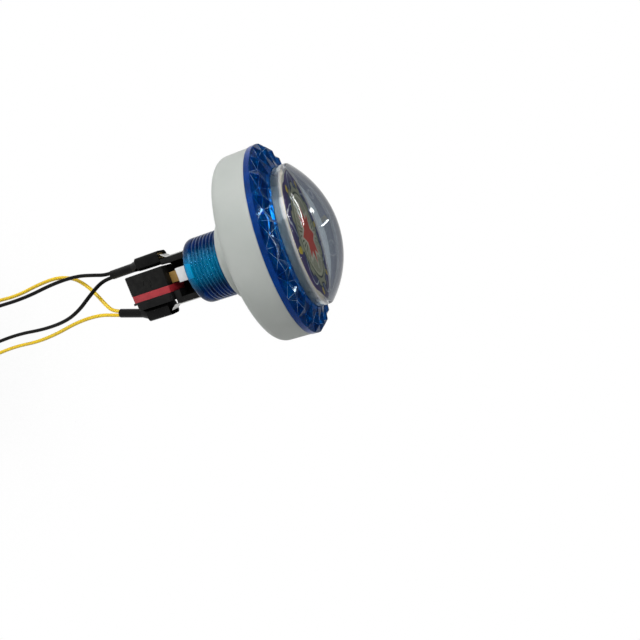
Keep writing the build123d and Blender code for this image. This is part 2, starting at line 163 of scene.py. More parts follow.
def noise(tree, place, scale, detail):
    """An even noise on the given coordinates."""
    node = tree.nodes.new("ShaderNodeTexNoise")
    feed(tree, node.inputs["Vector"], place)
    feed(tree, node.inputs["Scale"], scale)
    feed(tree, node.inputs["Detail"], detail)
    return node.outputs["Fac"]


def two_tone(tree, pattern, dark, light, stops, roughness, spread):
    """Colour and gloss that drift with a pattern, the gloss by a share of its roughness either way."""
    shader = tree.nodes["Principled BSDF"]
    ramp = tree.nodes.new("ShaderNodeValToRGB")
    for element, position, colour in zip(ramp.color_ramp.elements, stops, (dark, light)):
        element.position = position
        element.color = (*colour, 1.0)
    feed(tree, ramp.inputs["Fac"], pattern)
    feed(tree, shader.inputs["Base Color"], ramp.outputs["Color"])
    gloss = tree.nodes.new("ShaderNodeMapRange")
    feed(tree, gloss.inputs["Value"], pattern)
    feed(tree, gloss.inputs["To Min"], roughness * (1.0 - spread))
    feed(tree, gloss.inputs["To Max"], roughness * (1.0 + spread))
    feed(tree, shader.inputs["Roughness"], gloss.outputs["Result"])


def relief(tree, pattern, depth):
    """A fine relief in the surface."""
    bump = tree.nodes.new("ShaderNodeBump")
    feed(tree, bump.inputs["Distance"], depth)
    feed(tree, bump.inputs["Height"], pattern)
    feed(tree, tree.nodes["Principled BSDF"].inputs["Normal"], bump.outputs["Normal"])


def plastic(name, dark, light, roughness, mottle=180.0, stops=(0.3, 0.7), grain=2200.0,
            grain_depth=0.01 * mm):
    """Moulded plastic: slow drift between two colours, uneven gloss and a fine grain in the surface."""
    material = bpy.data.materials.new(name)
    material.use_nodes = True
    tree = material.node_tree
    place = tree.nodes.new("ShaderNodeTexCoord").outputs["Object"]
    two_tone(tree, noise(tree, place, mottle, detail=4.0), dark, light, stops, roughness, spread=0.2)
    relief(tree, noise(tree, place, grain, detail=3.0), grain_depth)
    return material


def clear(material, transmission, refraction=1.5):
    """Lets light through a plastic."""
    shader = material.node_tree.nodes["Principled BSDF"]
    shader.inputs["Transmission Weight"].default_value = transmission
    shader.inputs["IOR"].default_value = refraction


def set_shine(material, level, tint=(1.0, 1.0, 1.0)):
    """Sets how strongly a plastic mirrors what is around it, and in which tint."""
    shader = material.node_tree.nodes["Principled BSDF"]
    shader.inputs["Specular IOR Level"].default_value = level
    shader.inputs["Specular Tint"].default_value = (*tint, 1.0)


def blue_finish(name, dark, light, roughness, mottle, grain_depth, transmission, shine=0.5):
    """One blue of the transparent moulding."""
    material = plastic(name, dark, light, roughness, mottle=mottle, grain=1500.0, grain_depth=grain_depth)
    clear(material, transmission)
    set_shine(material, shine, tint=(0.25, 0.6, 1.0))
    return material


def calc(tree, operation, *values):
    """One step of arithmetic on sockets and numbers."""
    node = tree.nodes.new("ShaderNodeMath")
    node.operation = operation
    for socket, value in zip(node.inputs, values):
        feed(tree, socket, value)
    return node.outputs["Value"]


def fade(tree, value, start, end, slope="LINEAR"):
    """0 up to the start, 1 from the end on, and a slope between them."""
    node = tree.nodes.new("ShaderNodeMapRange")
    node.interpolation_type = slope
    feed(tree, node.inputs["Value"], value)
    feed(tree, node.inputs["From Min"], start)
    feed(tree, node.inputs["From Max"], end)
    return node.outputs["Result"]


def blend(tree, share, under, over):
    """A mix of two colours, by the share of the second one."""
    node = tree.nodes.new("ShaderNodeMix")
    node.data_type = "RGBA"
    feed(tree, node.inputs["Factor"], share)
    feed(tree, node.inputs["A"], under)
    feed(tree, node.inputs["B"], over)
    return node.outputs["Result"]


def own_place(tree):
    """X, Y and Z on the piece itself."""
    split = tree.nodes.new("ShaderNodeSeparateXYZ")
    feed(tree, split.inputs["Vector"], tree.nodes["Texture Coordinate"].outputs["Object"])
    return split.outputs


def paint_side_shade(material, dark, middle, start, end):
    """Paints shade on a plastic towards both sides in X, so that its middle stays paler, a painted band of
    light.
    """
    tree = material.node_tree
    aside = calc(tree, "ABSOLUTE", calc(tree, "SUBTRACT", own_place(tree)["X"], middle))
    share = fade(tree, aside, start, end, slope="SMOOTHSTEP")
    colour = blend(tree, share, tree.nodes["Color Ramp"].outputs["Color"], dark)
    feed(tree, tree.nodes["Principled BSDF"].inputs["Base Color"], colour)


def dress(piece, material, body):
    """Gives a piece its only material and the body that it moves with."""
    piece.data.materials.clear()
    piece.data.materials.append(material)
    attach(piece, body)


well_plastic = blue_finish("blue_transparent_plastic", (0.0, 0.18, 0.42), (0.0, 0.27, 0.54), roughness=0.03,
                           mottle=90.0, grain_depth=0.003 * mm, transmission=0.9)
# The paler edge finish is a painted highlight where the facets' edges catch the light.
edge_highlight_plastic = plastic("blue_edge_painted_highlight", (0.0, 0.10, 0.44), (0.46, 0.62, 0.78), roughness=0.2,
                       mottle=220.0, stops=(0.47, 0.60))
clear(edge_highlight_plastic, transmission=0.3)
facet_plastic = blue_finish("blue_plastic_in_depth", (0.0, 0.06, 0.36), (0.0, 0.26, 0.92), roughness=0.04,
                            mottle=240.0, grain_depth=0.002 * mm, transmission=0.88)
band_plastic = blue_finish("blue_plastic_edge_on", (0.0, 0.040, 0.29), (0.0, 0.086, 0.54), roughness=0.06,
                           mottle=160.0, grain_depth=0.002 * mm, transmission=0.62, shine=0.05)
stem_plastic = blue_finish("blue_stem_plastic", (0.0, 0.36, 0.76), (0.0, 0.54, 1.0), roughness=0.03,
                           mottle=260.0, grain_depth=0.003 * mm, transmission=0.74, shine=0.3)
# The stem carries painted shade towards its sides and a paler painted band of light down its middle.
paint_side_shade(stem_plastic, (0.0, 0.024, 0.17), middle=-0.8 * mm, start=1.5 * mm, end=8.0 * mm)
dress(housing, well_plastic, "base")
edge_index, facet_index, band_index, stem_index = 1, 2, 3, 4
for material in (edge_highlight_plastic, facet_plastic, band_plastic, stem_plastic):
    housing.data.materials.append(material)

# The facets stay flat and meet in narrow bevels of a paler finish of their own, a painted highlight along
# each edge.
thread_floor = stem_radius - 2 * thread_depth
band_start = 11.6 * mm
facets_start = 13.45 * mm
ring_inside = 24.7 * mm
edge_width = 0.08 * mm
edge_angle = math.radians(5)
slopes = {}
for face in housing.data.polygons:
    height, radius = face.center.z, face.center.xy.length
    if height < 0.0 and radius > thread_floor:
        face.material_index = stem_index
    elif height > facets_start and radius >= ring_inside:
        face.material_index = facet_index
        face.use_smooth = False
        for key in face.edge_keys:
            slopes.setdefault(key, []).append(face.normal.copy())
    elif height >= band_start and radius >= ring_inside:
        face.material_index = band_index
choose_only(housing)
bpy.ops.object.mode_set(mode="EDIT")
bpy.ops.mesh.select_mode(type="EDGE")
bpy.ops.mesh.select_all(action="DESELECT")
bpy.ops.object.mode_set(mode="OBJECT")
for edge in housing.data.edges:
    pair = slopes.get(edge.key, ())
    edge.select = len(pair) == 2 and pair[0].angle(pair[1]) > edge_angle
bpy.ops.object.mode_set(mode="EDIT")
bpy.ops.mesh.bevel(offset=edge_width, segments=1, material=edge_index, clamp_overlap=True)
bpy.ops.mesh.select_mode(type="VERT")
bpy.ops.object.mode_set(mode="OBJECT")


# Frosted collar
# A cup of milky white plastic that sits between the ring and the panel and glows when the lamps are on.
# Its back edge is well rounded and its surface is matt.
def turned(name, profile, steps=160):
    """Turns a closed profile of (radius, height) points about the Z axis, as on a lathe."""
    bpy.ops.object.select_all(action="DESELECT")
    bpy.ops.mesh.primitive_plane_add(size=1.0)
    piece = bpy.context.object
    piece.name = name
    bpy.ops.object.mode_set(mode="EDIT")
    bpy.ops.mesh.select_all(action="SELECT")
    bpy.ops.mesh.merge(type="CENTER")
    bpy.ops.transform.translate(value=(profile[0][0], 0.0, profile[0][1]))
    for (radius, height), (next_radius, next_height) in zip(profile, profile[1:]):
        bpy.ops.mesh.extrude_vertices_move(
            TRANSFORM_OT_translate={"value": (next_radius - radius, 0.0, next_height - height)})
    bpy.ops.mesh.select_all(action="SELECT")
    bpy.ops.mesh.spin(steps=steps, angle=2 * math.pi, center=(0.0, 0.0, 0.0), axis=(0.0, 0.0, 1.0))
    bpy.ops.mesh.select_all(action="SELECT")
    bpy.ops.mesh.remove_doubles(threshold=merge_gap)
    bpy.ops.mesh.normals_make_consistent(inside=False)
    bpy.ops.object.mode_set(mode="OBJECT")
    return piece


def arc(centre, radius, start, end, count):
    """Points on an arc in the profile's plane, with angles in degrees from the radius axis."""
    angles = [math.radians(start + (end - start) * i / count) for i in range(count + 1)]
    return [(centre[0] + radius * math.cos(a), centre[1] + radius * math.sin(a)) for a in angles]


_, collar_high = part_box("light_collar")
collar_radius = collar_high.x
collar_wall = 2.0 * mm
collar_floor = 2.2 * mm
collar_hole = 12.1 * mm
back_round = 3.2 * mm
rim_round = 0.35 * mm
nut_recess = 0.3 * mm
recess_radius = 15.0 * mm
inner_radius = collar_radius - collar_wall
collar = turned("frosted_collar", [
    (collar_hole, nut_recess),
    (recess_radius, nut_recess),
    (recess_radius, 0.0),
    *arc((collar_radius - back_round, back_round), back_round, -90, 0, 12),
    *arc((collar_radius - rim_round, collar_high.z - rim_round), rim_round, 0, 90, 4),
    (inner_radius, collar_high.z),
    (inner_radius, collar_floor),
    (collar_hole, collar_floor),
    (collar_hole, nut_recess),
])
smooth_by_angle(collar, degrees=40)
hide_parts("light_collar")
frosted_plastic = plastic("frosted_white_plastic", (0.43, 0.46, 0.435), (0.49, 0.515, 0.49), roughness=0.48,
                          mottle=60.0, grain=3500.0)
frosted_shader = frosted_plastic.node_tree.nodes["Principled BSDF"]
frosted_shader.inputs["Subsurface Weight"].default_value = 0.35
frosted_shader.inputs["Subsurface Radius"].default_value = (1.0, 1.0, 1.05)
frosted_shader.inputs["Subsurface Scale"].default_value = 2.0 * mm
dress(collar, frosted_plastic, "base")


# Clamp nut
# A plain ring of the collar's milky plastic, screwed up the stem against the back of the collar.
# With the panel in place it would press on the panel's rear.
def soften(piece, width, segments=2, sharp=35):
    """Eases the sharp edges of a piece, as a mould or a press leaves them."""
    apply_modifier(piece, "BEVEL", width=width, segments=segments, limit_method="ANGLE",
                   angle_limit=math.radians(sharp), use_clamp_overlap=True, harden_normals=False)
    smooth_by_angle(piece, degrees=sharp)


nut = copy_of("clamp_nut", "plain_nut")
soften(nut, width=0.15 * mm)
dress(nut, frosted_plastic, "base")


# Plunger and return spring
# A white moulding carries the dome and the print; its shaft slides in the housing's guide and its tail
# presses the switch. A coil of bright steel wire lifts it back.
plunger = copy_of("plunger", "plunger_moulding")
soften(plunger, width=0.12 * mm)
white_plastic = plastic("white_moulded_plastic", (0.80, 0.81, 0.82), (0.86, 0.87, 0.87), roughness=0.32)
dress(plunger, white_plastic, "plunger")


def metal(name, dark, light, roughness):
    """Bright metal with fine drawing marks across Z."""
    material = bpy.data.materials.new(name)
    material.use_nodes = True
    tree = material.node_tree
    feed(tree, tree.nodes["Principled BSDF"].inputs["Metallic"], 1.0)
    stretch = tree.nodes.new("ShaderNodeMapping")
    stretch.inputs["Scale"].default_value = (300.0, 300.0, 3000.0)
    feed(tree, stretch.inputs["Vector"], tree.nodes.new("ShaderNodeTexCoord").outputs["Object"])
    marks = noise(tree, stretch.outputs["Vector"], scale=1.0, detail=5.0)
    two_tone(tree, marks, dark, light, (0.3, 0.7), roughness, spread=0.3)
    relief(tree, marks, depth=0.006 * mm)
    return material


spring_low, spring_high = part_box("return_spring")
spring_wire = 0.9 * mm
spring_turns = 5
spring_radius = spring_high.x - spring_wire / 2
spring_length = spring_high.z - spring_low.z
bpy.ops.object.select_all(action="DESELECT")
bpy.ops.mesh.primitive_circle_add(vertices=14, radius=spring_wire / 2, rotation=(math.pi / 2, 0.0, 0.0),
                                  location=(spring_radius, 0.0, spring_low.z + spring_wire / 2))
spring = bpy.context.object
spring.name = "coil_spring"
bpy.ops.object.transform_apply(location=True, rotation=True, scale=True)
wind(spring, (spring_length - spring_wire) / spring_turns, spring_turns, steps=48)
smooth_by_angle(spring, degrees=50)
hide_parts("return_spring")
spring_steel = metal("bright_spring_steel", (0.50, 0.50, 0.50), (0.66, 0.66, 0.65), roughness=0.22)
dress(spring, spring_steel, "base")
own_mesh(spring)


# Lamp board
# A round board on the floor of the well, with a ring of surface lamps that light the dome, the ring
# and the collar.
def finish_node(node, material):
    """Gives a CAD node that stays in the picture its material."""
    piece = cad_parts[node]
    piece.data.materials.clear()
    piece.data.materials.append(material)


solder_mask = plastic("white_solder_mask", (0.62, 0.66, 0.60), (0.72, 0.75, 0.70), roughness=0.35)
lamp_lens = plastic("yellow_lamp_lens", (0.72, 0.62, 0.22), (0.82, 0.74, 0.36), roughness=0.25)
finish_node("lamp_board", solder_mask)
finish_node("leds", lamp_lens)


# Printed disc
# A round card on the plunger's deck with a matt print: a dark violet ground that glows teal in the middle,
# fine pale loops, a grooved grey cog, a red eight-pointed star with a cream edge, and yellow spots.
class Picture:
    """Builds a print from plain shapes, laid over each other on the disc's own X and Y."""

    def __init__(self, name, ground, roughness, shine):
        self.material = bpy.data.materials.new(name)
        self.material.use_nodes = True
        self.tree = self.material.node_tree
        feed(self.tree, self.tree.nodes["Principled BSDF"].inputs["Roughness"], roughness)
        set_shine(self.material, shine)
        self.tree.nodes.new("ShaderNodeTexCoord")
        place = own_place(self.tree)
        self.x = place["X"]
        self.y = place["Y"]
        self.colour = ground

    def calc(self, operation, *values):
        """One step of arithmetic on sockets and numbers."""
        return calc(self.tree, operation, *values)

    def below(self, value, limit, soft=0.06 * mm):
        """1 where the value is below the limit, with a soft edge."""
        step = self.calc("DIVIDE", self.calc("SUBTRACT", limit, value), soft)
        return self.calc("SMOOTH_MIN", self.calc("MAXIMUM", step, 0.0), 1.0, 0.1)

    def diagonal(self, across, along):
        """Length of the diagonal over two sides."""
        squares = [self.calc("POWER", side, 2.0) for side in (across, along)]
        return self.calc("SQRT", self.calc("ADD", *squares))

    def radius(self, x=0.0, y=0.0):
        """Distance from a point."""
        return self.diagonal(self.calc("SUBTRACT", self.x, x), self.calc("SUBTRACT", self.y, y))

    def wave(self, count):
        """A wave that runs round the disc's middle a number of times."""
        return self.calc("SINE", self.calc("MULTIPLY", self.angle(), count))

    def angle(self):
        """Angle about the disc's middle."""
        return self.calc("ARCTAN2", self.y, self.x)

    def loop_radius(self, degrees, squeeze):
        """Radius of a loop that is squeezed across a turned axis."""
        sine, cosine = math.sin(math.radians(degrees)), math.cos(math.radians(degrees))
        along = self.calc("ADD", self.calc("MULTIPLY", self.x, cosine), self.calc("MULTIPLY", self.y, sine))
        across = self.calc("SUBTRACT", self.calc("MULTIPLY", self.y, cosine),
                           self.calc("MULTIPLY", self.x, sine))
        return self.diagonal(self.calc("MULTIPLY", across, squeeze), along)

    def lay(self, colour, mask):
        """Lays one flat colour over the print so far, where the mask is 1."""
        self.colour = blend(self.tree, mask, self.colour, colour)

    def printed(self):
        """The material with all that was laid."""
        feed(self.tree, self.tree.nodes["Principled BSDF"].inputs["Base Color"], self.colour)
        return self.material


violet = (0.090, 0.055, 0.210)
teal = (0.050, 0.190, 0.220)
pale_blue = (0.80, 0.84, 0.92)
ink = (0.020, 0.020, 0.018)
cog_grey = (0.480, 0.460, 0.300)
shade_grey = (0.120, 0.115, 0.080)
sand = (0.740, 0.680, 0.460)
groove_grey = (0.200, 0.185, 0.120)
star_cream = (0.90, 0.80, 0.60)
star_red = (0.86, 0.100, 0.060)
spot_yellow = (0.90, 0.66, 0.060)
card_cream = (0.95, 0.90, 0.76)

picture = Picture("printed_star_card", violet, roughness=0.5, shine=0.05)
middle = picture.radius()
picture.lay(teal, picture.below(middle, 21.0 * mm, soft=12.0 * mm))

loop_reach = 21.2 * mm
loop_squeeze = 2.6
loop_line = 0.28 * mm
for degrees in (10, 70, 130):
    off_loop = picture.calc("SUBTRACT", picture.loop_radius(degrees, loop_squeeze), loop_reach)
    picture.lay(pale_blue, picture.below(picture.calc("ABSOLUTE", off_loop), loop_line))

cog_teeth = 12
cog_radius = 16.4 * mm
tooth_height = 1.7 * mm
cog_outline = 0.5 * mm
cog_shade = 15.0 * mm
cog_face = 14.3 * mm
teeth = picture.below(picture.calc("MULTIPLY", picture.wave(cog_teeth), -1.0), 0.0, soft=0.4)
cog_edge = picture.calc("ADD", picture.calc("MULTIPLY", teeth, tooth_height), cog_radius)
past_cog = picture.calc("SUBTRACT", middle, cog_edge)
picture.lay(ink, picture.below(past_cog, cog_outline))
picture.lay(cog_grey, picture.below(past_cog, 0.0))
picture.lay(shade_grey, picture.below(middle, cog_shade))
picture.lay(sand, picture.below(middle, cog_face))

groove_count = 48
grooves_start = 8.0 * mm
grooves_end = 13.2 * mm
grooves = picture.below(picture.wave(groove_count), -0.2, soft=0.2)
past_start = picture.below(picture.calc("MULTIPLY", middle, -1.0), -grooves_start)
before_end = picture.below(middle, grooves_end)
grooves = picture.calc("MULTIPLY", grooves, picture.calc("MULTIPLY", past_start, before_end))
picture.lay(groove_grey, grooves)

star_points = 8
star_reach = 12.6 * mm
star_waist = 0.56
star_border = 2.2 * mm
star_soft = 0.2 * mm
half_point = math.pi / star_points
edge_turn = math.atan2(star_waist * math.sin(half_point), 1.0 - star_waist * math.cos(half_point))
fold = picture.calc("PINGPONG", picture.calc("ADD", picture.angle(), math.pi / 2), half_point)
star = picture.calc("MULTIPLY", middle, picture.calc("SINE", picture.calc("ADD", fold, edge_turn)))
star = picture.calc("DIVIDE", star, math.sin(edge_turn))
picture.lay(star_cream, picture.below(star, star_reach, soft=star_soft))
picture.lay(star_red, picture.below(star, star_reach - star_border, soft=star_soft))

spot_ring = 19.6 * mm
spot_radius = 1.3 * mm
for degrees in range(40, 400, 60):
    turn = math.radians(degrees)
    spot = picture.radius(spot_ring * math.cos(turn), spot_ring * math.sin(turn))
    picture.lay(spot_yellow, picture.below(spot, spot_radius))

print_edge = 22.1 * mm
picture.lay(card_cream, picture.below(picture.calc("SUBTRACT", print_edge, middle), 0.0))
finish_node("print_disc", picture.printed())


# Dome
# A hollow lens of clear plastic with a short side wall that stands on the plunger's flange.
# It covers the print and is what the hand strikes.
dome_low, dome_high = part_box("dome")
dome_radius = dome_high.x
dome_wall = 1.6 * mm
cap_height = 9.8 * mm
cap_base = dome_high.z - cap_height
cap_radius = (dome_radius**2 + cap_height**2) / (2 * cap_height)
cap_centre = dome_high.z - cap_radius
shoulder_round = 0.5 * mm
cap_inside = cap_radius - dome_wall
dome_inside = dome_radius - dome_wall
cap_turn = math.degrees(math.asin(dome_radius / cap_radius))
inside_turn = math.degrees(math.asin(dome_inside / cap_inside))
dome = turned("clear_dome", [
    *arc((0.0, cap_centre), cap_radius, 90, 90 - cap_turn, 40),
    (dome_radius, dome_low.z),
    (dome_inside, dome_low.z),
    *arc((0.0, cap_centre), cap_inside, 90 - inside_turn, 90, 40),
], steps=192)
apply_modifier(dome, "BEVEL", width=shoulder_round, segments=4, limit_method="ANGLE",
               angle_limit=math.radians(20), use_clamp_overlap=True)
smooth_by_angle(dome, degrees=30)
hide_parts("dome")
clear_plastic = plastic("clear_polished_plastic", (0.68, 0.74, 0.78), (0.74, 0.79, 0.83), roughness=0.02,
                        mottle=40.0, grain=900.0, grain_depth=0.001 * mm)
clear(clear_plastic, transmission=1.0, refraction=1.49)
# Under the shoulder the wall is clearer, so the rim behind shows as a pale painted highlight line; lower
# down the wall carries a blue-grey painted shade.
shoulder_highlight_tint = (0.95, 0.95, 0.94)
wall_painted_shade = (0.48, 0.60, 0.68)
wall_clear = 1.6 * mm
wall_fade = 0.3 * mm
dome_tree = clear_plastic.node_tree
dome_place = own_place(dome_tree)
tint = dome_tree.nodes["Color Ramp"].outputs["Color"]
for edge, below_edge in ((cap_base + wall_fade, shoulder_highlight_tint), (cap_base - wall_clear, wall_painted_shade)):
    above = fade(dome_tree, dome_place["Z"], edge - wall_fade, edge)
    tint = blend(dome_tree, above, below_edge, tint)
feed(dome_tree, dome_tree.nodes["Principled BSDF"].inputs["Base Color"], tint)
dress(dome, clear_plastic, "plunger")


# Microswitch
# A black case and a red cover, pressed together, with a tan button on top and three plated blades behind.
# The case is coarse-grained phenolic with a small round mould mark on its end.
switch_case = copy_of("switch_case", "switch_body")
soften(switch_case, width=0.25 * mm)
case_low, case_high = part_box("switch_case")
case_middle = (case_low + case_high) / 2
mark_radius = 1.5 * mm
mark_line = 0.14 * mm
mark_aside = 0.6 * mm
bpy.ops.object.select_all(action="DESELECT")
bpy.ops.mesh.primitive_torus_add(major_radius=mark_radius, minor_radius=mark_line, major_segments=40,
                                 minor_segments=10, rotation=(math.pi / 2, 0.0, 0.0),
                                 location=(case_middle.x + mark_aside, case_low.y, case_middle.z))
mould_mark = bpy.context.object
bpy.ops.object.transform_apply(location=True, rotation=True, scale=True)
bpy.ops.object.shade_smooth()
choose_only(switch_case)
mould_mark.select_set(True)
bpy.ops.object.join()
black_plastic = plastic("black_grained_plastic", (0.004, 0.004, 0.004), (0.012, 0.012, 0.011),
                        roughness=0.46, mottle=500.0, grain=2600.0, grain_depth=0.03 * mm)
set_shine(black_plastic, 0.15)
dress(switch_case, black_plastic, "base")

switch_cover = copy_of("switch_cover", "switch_red_cover")
soften(switch_cover, width=0.2 * mm)
red_plastic = plastic("red_moulded_plastic", (0.38, 0.020, 0.030), (0.48, 0.030, 0.042), roughness=0.36,
                      mottle=300.0)
dress(switch_cover, red_plastic, "base")

switch_button = copy_of("switch_button", "switch_actuator")
soften(switch_button, width=0.2 * mm)
tan_plastic = plastic("tan_moulded_plastic", (0.30, 0.17, 0.045), (0.38, 0.23, 0.065), roughness=0.35,
                      mottle=400.0)
dress(switch_button, tan_plastic, "switch_button")

plated_steel = metal("tinned_sheet_metal", (0.55, 0.55, 0.54), (0.74, 0.74, 0.72), roughness=0.25)
finish_node("switch_terminals", plated_steel)


# Switch holder
# A black moulding whose ring sits in the stem's bore; its two arms reach back and the plate on the longer
# arm carries the switch on two pegs.
switch_holder = copy_of("switch_holder", "switch_bracket")
soften(switch_holder, width=0.18 * mm)
satin_black = plastic("black_satin_plastic", (0.004, 0.004, 0.004), (0.010, 0.010, 0.010), roughness=0.36,
                      mottle=260.0, grain=1800.0, grain_depth=0.012 * mm)
set_shine(satin_black, 0.15)
dress(switch_holder, satin_black, "base")


# Lead tabs, receptacles and boots
# Two strips of tinned metal bring the lamp's supply out along the arms and step outwards to push-on blades.
# A brass receptacle grips each blade, and a soft black boot with a narrow neck covers it.
brass = metal("pressed_brass", (0.50, 0.36, 0.14), (0.68, 0.52, 0.24), roughness=0.28)
soft_vinyl = plastic("black_soft_vinyl", (0.003, 0.003, 0.003), (0.007, 0.007, 0.007), roughness=0.16,
                     mottle=350.0, grain=700.0, grain_depth=0.03 * mm)
set_shine(soft_vinyl, 0.1)
for colour in ("black", "yellow"):
    tab = copy_of(f"{colour}_lead_tab", f"{colour}_supply_strip")
    soften(tab, width=0.12 * mm)
    dress(tab, plated_steel, "base")
    finish_node(f"{colour}_lead_terminal", brass)
    boot = copy_of(f"{colour}_lead_boot", f"{colour}_vinyl_boot")
    soften(boot, width=0.35 * mm, segments=3, sharp=25)
    dress(boot, soft_vinyl, "base")


# Leads
# Four thin wires in soft insulation hang from the boots, two black and two yellow.
# Their last stretch is stripped, and the bare strands are twisted and tinned.
lead_radius = 0.7 * mm
strand_radius = 0.4 * mm
strand_length = 5.0 * mm
strand_count = 7
strand_twist = math.radians(200)
lead_routes = {
    "black_lead_1": (
        (-9.75, 0.0, -56.5), (-9.75, 0.0, -59.5), (-11.25, 0.2, -64.5), (-12.95, 0.8, -71.5),
        (-13.35, 1.4, -82.5), (-11.65, 1.0, -98.5), (-12.25, -0.8, -114.5), (-11.25, -1.2, -128.5),
        (-11.65, -0.4, -140.5)),
    "black_lead_2": (
        (-8.15, 0.0, -56.5), (-8.15, 0.0, -59.5), (-7.15, -0.9, -62.9), (-4.15, -2.0, -67.9),
        (-0.45, -2.0, -74.5), (1.85, -1.2, -82.5), (2.25, 0.4, -94.5), (0.75, 1.0, -108.5),
        (1.45, 0.2, -122.5), (0.65, -0.6, -134.5)),
    "yellow_lead_1": (
        (4.72, 0.0, -59.20), (3.90, 0.0, -62.08), (1.22, 0.7, -64.50), (-3.68, 1.9, -67.40),
        (-8.48, 3.0, -70.80), (-12.88, 3.8, -75.60), (-15.28, 4.2, -82.60), (-15.08, 4.0, -92.20),
        (-13.68, 3.4, -103.20), (-14.68, 2.8, -115.20), (-13.48, 3.2, -127.20), (-14.08, 2.6, -137.20)),
    "yellow_lead_2": (
        (6.26, 0.0, -59.63), (5.43, 0.0, -62.52), (3.96, -0.3, -67.03), (3.46, -0.7, -72.83),
        (3.86, -0.5, -80.13), (5.36, 0.4, -89.63), (6.16, 1.0, -100.63), (5.16, 1.5, -112.63),
        (5.96, 1.2, -124.63), (5.36, 0.2, -134.63), (6.16, -0.6, -144.13)),
}
insulation = {
    "black": plastic("black_wire_insulation", (0.003, 0.003, 0.003), (0.007, 0.007, 0.007), roughness=0.2,
                     mottle=200.0, grain=900.0, grain_depth=0.002 * mm),
    "yellow": plastic("yellow_wire_insulation", (0.84, 0.545, 0.006), (0.91, 0.645, 0.012), roughness=0.30,
                      mottle=200.0, grain=900.0, grain_depth=0.002 * mm),
}
set_shine(insulation["black"], 0.1)
tinned_wire = metal("tinned_copper_strand", (0.56, 0.54, 0.50), (0.74, 0.73, 0.70), roughness=0.3)


def wire(name, route):
    """A round lead along a smooth line whose control points are the route's."""
    curve = bpy.data.curves.new(name, "CURVE")
    curve.dimensions = "3D"
    spline = curve.splines.new("NURBS")
    spline.points.add(len(route) - 1)
    for point, place in zip(spline.points, route):
        point.co = (*(Vector(place) * mm), 1.0)
    spline.order_u = 3
    spline.use_endpoint_u = True
    spline.use_smooth = True
    spline.resolution_u = 14
    curve.bevel_depth = lead_radius
    curve.bevel_resolution = 6
    curve.use_fill_caps = True
    piece = bpy.data.objects.new(name, curve)
    bpy.context.collection.objects.link(piece)
    return piece


def stripped_end(name, tip, direction):
    """Thin strands laid round a middle one, twisted, and set on the lead's end."""
    thin = strand_radius / 3
    strands = []
    for i in range(strand_count):
        turn = 2 * math.pi * i / (strand_count - 1)
        away = 2 * thin if i else 0.0
        bpy.ops.object.select_all(action="DESELECT")
        bpy.ops.mesh.primitive_cylinder_add(
            vertices=10, radius=thin, depth=strand_length,
            location=(away * math.cos(turn), away * math.sin(turn), strand_length / 2))
        strand = bpy.context.object
        bpy.ops.object.transform_apply(location=True, rotation=True, scale=True)
        for edge in strand.data.edges:
            first, last = (strand.data.vertices[v].co for v in edge.vertices)
            edge.select = abs(first.z - last.z) > strand_length / 2
        bpy.ops.object.mode_set(mode="EDIT")
        bpy.ops.mesh.select_mode(type="EDGE")
        bpy.ops.mesh.subdivide(number_cuts=12)
        bpy.ops.object.mode_set(mode="OBJECT")
        strands.append(strand)
    bundle = strands[0]
    choose_only(bundle)
    for strand in strands:
        strand.select_set(True)
    bpy.ops.object.join()
    bundle.name = name
    apply_modifier(bundle, "SIMPLE_DEFORM", deform_method="TWIST", deform_axis="Z", angle=strand_twist)
    smooth_by_angle(bundle, degrees=50)
    turn = direction.to_track_quat("Z", "Y").to_matrix().to_4x4()
    bundle.data.transform(Matrix.Translation(tip) @ turn)
    return bundle


for name, route in lead_routes.items():
    colour = name.split("_")[0]
    lead = wire(f"{name}_wire", route)
    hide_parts(name)
    dress(lead, insulation[colour], "base")
    before, last = (Vector(place) * mm for place in route[-2:])
    end = stripped_end(f"{name}_strands", last, (last - before).normalized())
    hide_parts(f"{name}_end")
    dress(end, tinned_wire, "base")


# Studio
# A camera at the photograph's viewing angle, a plain pale floor under the hanging leads, and a room that is
# white to the camera and darker in reflections. One large soft lamp lights the button; four thin lamps and
# a small one draw its highlights.
view_right = Vector((0.31100296, 0.16216927, 0.93647119))
view_down = Vector((0.93235949, -0.24317794, -0.26752619))
view_forward = Vector((0.18434461, 0.95632924, -0.22682912))
eye = Vector((0.0, -151.70, 49.67)) * mm
picture_width = 640
focal_pixels = 447.84
sensor_width = 36.0
camera_data = bpy.data.cameras.new("studio_camera")
camera_data.sensor_width = sensor_width
camera_data.lens = focal_pixels / picture_width * sensor_width
camera_data.clip_start = 1 * mm
camera = bpy.data.objects.new("studio_camera", camera_data)
bpy.context.collection.objects.link(camera)
camera.matrix_world = Matrix((
    (view_right.x, -view_down.x, -view_forward.x, eye.x),
    (view_right.y, -view_down.y, -view_forward.y, eye.y),
    (view_right.z, -view_down.z, -view_forward.z, eye.z),
    (0.0, 0.0, 0.0, 1.0)))
bpy.context.scene.camera = camera


def either(tree, share, first, second):
    """A mix of two shaders, by the share of the second one."""
    node = tree.nodes.new("ShaderNodeMixShader")
    for socket, source in zip(node.inputs, (share, first, second)):
        feed(tree, socket, source)
    return node.outputs["Shader"]


